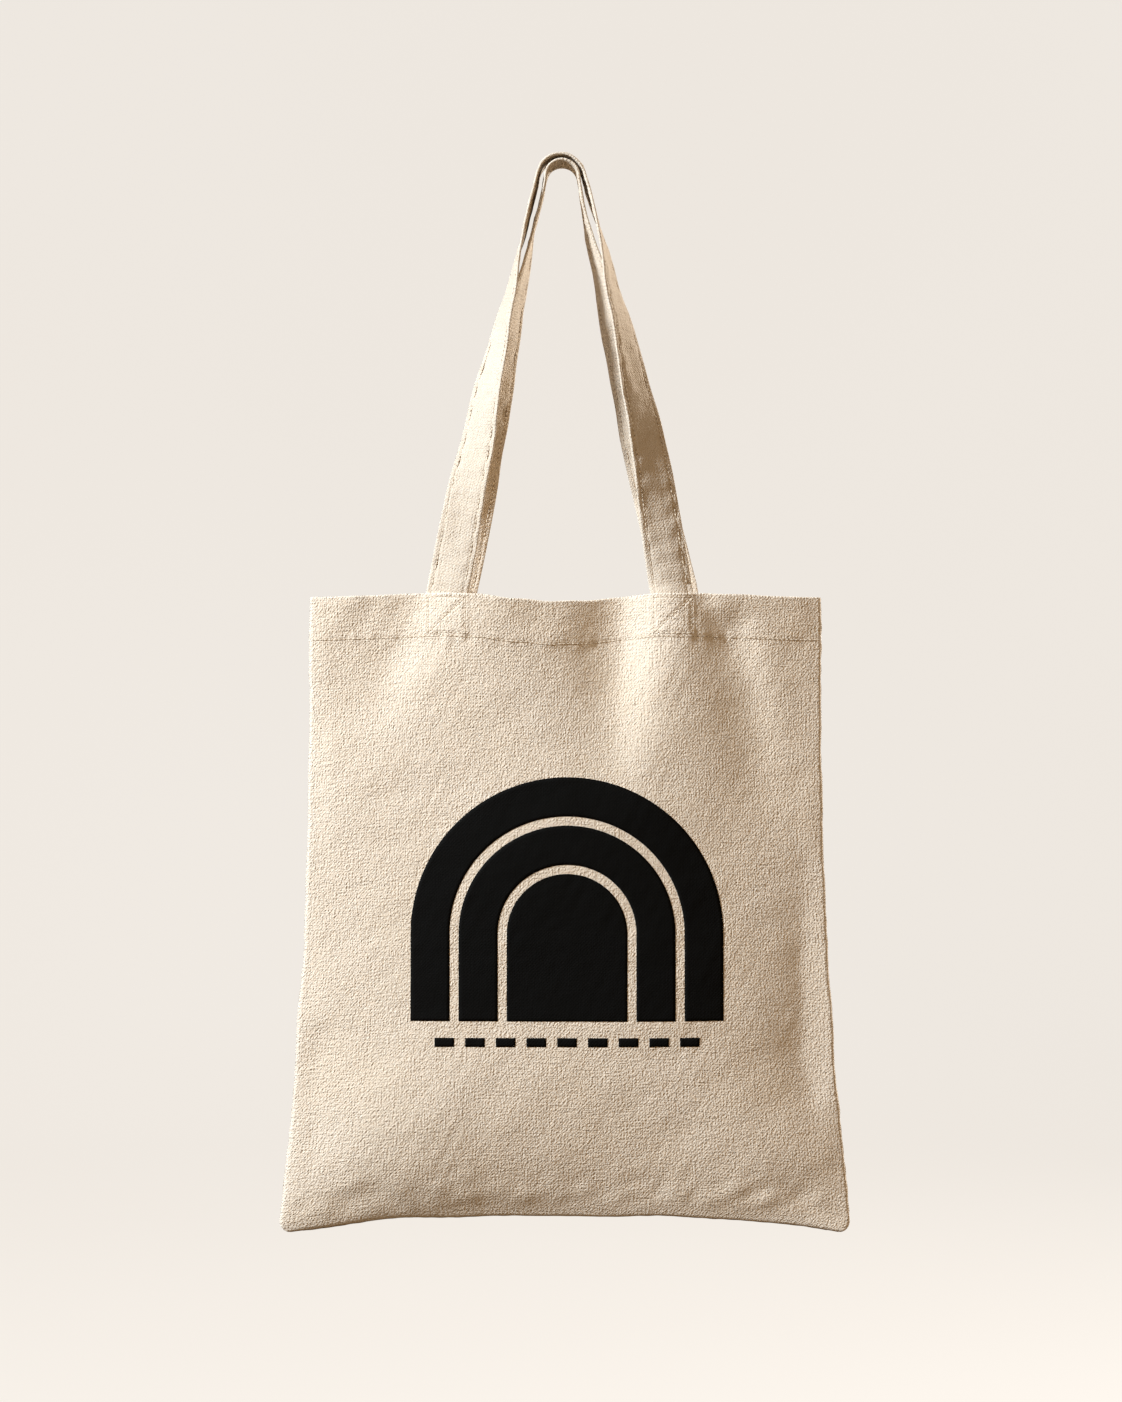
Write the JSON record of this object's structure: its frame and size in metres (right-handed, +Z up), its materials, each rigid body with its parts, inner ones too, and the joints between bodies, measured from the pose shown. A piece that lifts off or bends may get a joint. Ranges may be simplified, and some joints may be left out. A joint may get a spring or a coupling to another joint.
{
  "type": "tote bag",
  "caption": "Flat canvas tote bag with two sewn strap handles, a turned hem and a plain printed motif, hung by both handles.",
  "frame": {"origin": "where a hook carries the handles, on the underside of the lower handle's crown", "axes": "+Z up, the printed front panel faces -Y, +X to the right seen from the front"},
  "size_m": [0.3818, 0.0474, 0.7228],
  "materials": {
    "canvas": "natural unbleached cotton canvas, matt, coarse plain weave",
    "thread": "natural cotton sewing thread, matt",
    "ink": "black screen print on the weave, matt"
  },
  "bodies": {
    "bag": {"front_panel": "canvas", "back_panel": "canvas", "front_hem_turn": "canvas", "back_hem_turn": "canvas", "left_side_seam": "canvas", "right_side_seam": "canvas", "bottom_seam": "canvas", "front_left_handle_end": "canvas", "front_right_handle_end": "canvas", "back_left_handle_end": "canvas", "back_right_handle_end": "canvas", "front_left_box_stitch": "thread", "front_right_box_stitch": "thread", "back_left_box_stitch": "thread", "back_right_box_stitch": "thread", "front_hem_stitch": "thread", "back_hem_stitch": "thread", "print_outer_arch": "ink", "print_middle_arch": "ink", "print_heart": "ink", "print_line": "ink"},
    "front_handle": {"front_handle_strap": "canvas", "front_handle_inner_edge_stitch": "thread", "front_handle_outer_edge_stitch": "thread"},
    "back_handle": {"back_handle_strap": "canvas", "back_handle_inner_edge_stitch": "thread", "back_handle_outer_edge_stitch": "thread"}
  },
  "joints": [
    {"name": "front_handle_swing", "type": "hinge", "parent": "bag", "child": "front_handle", "pos_m": [0, -0.0163, -0.287], "axis": [1, 0, 0], "range_deg": [0, 160]},
    {"name": "back_handle_swing", "type": "hinge", "parent": "bag", "child": "back_handle", "pos_m": [0, 0.0163, -0.287], "axis": [-1, 0, 0], "range_deg": [0, 160]}
  ]
}
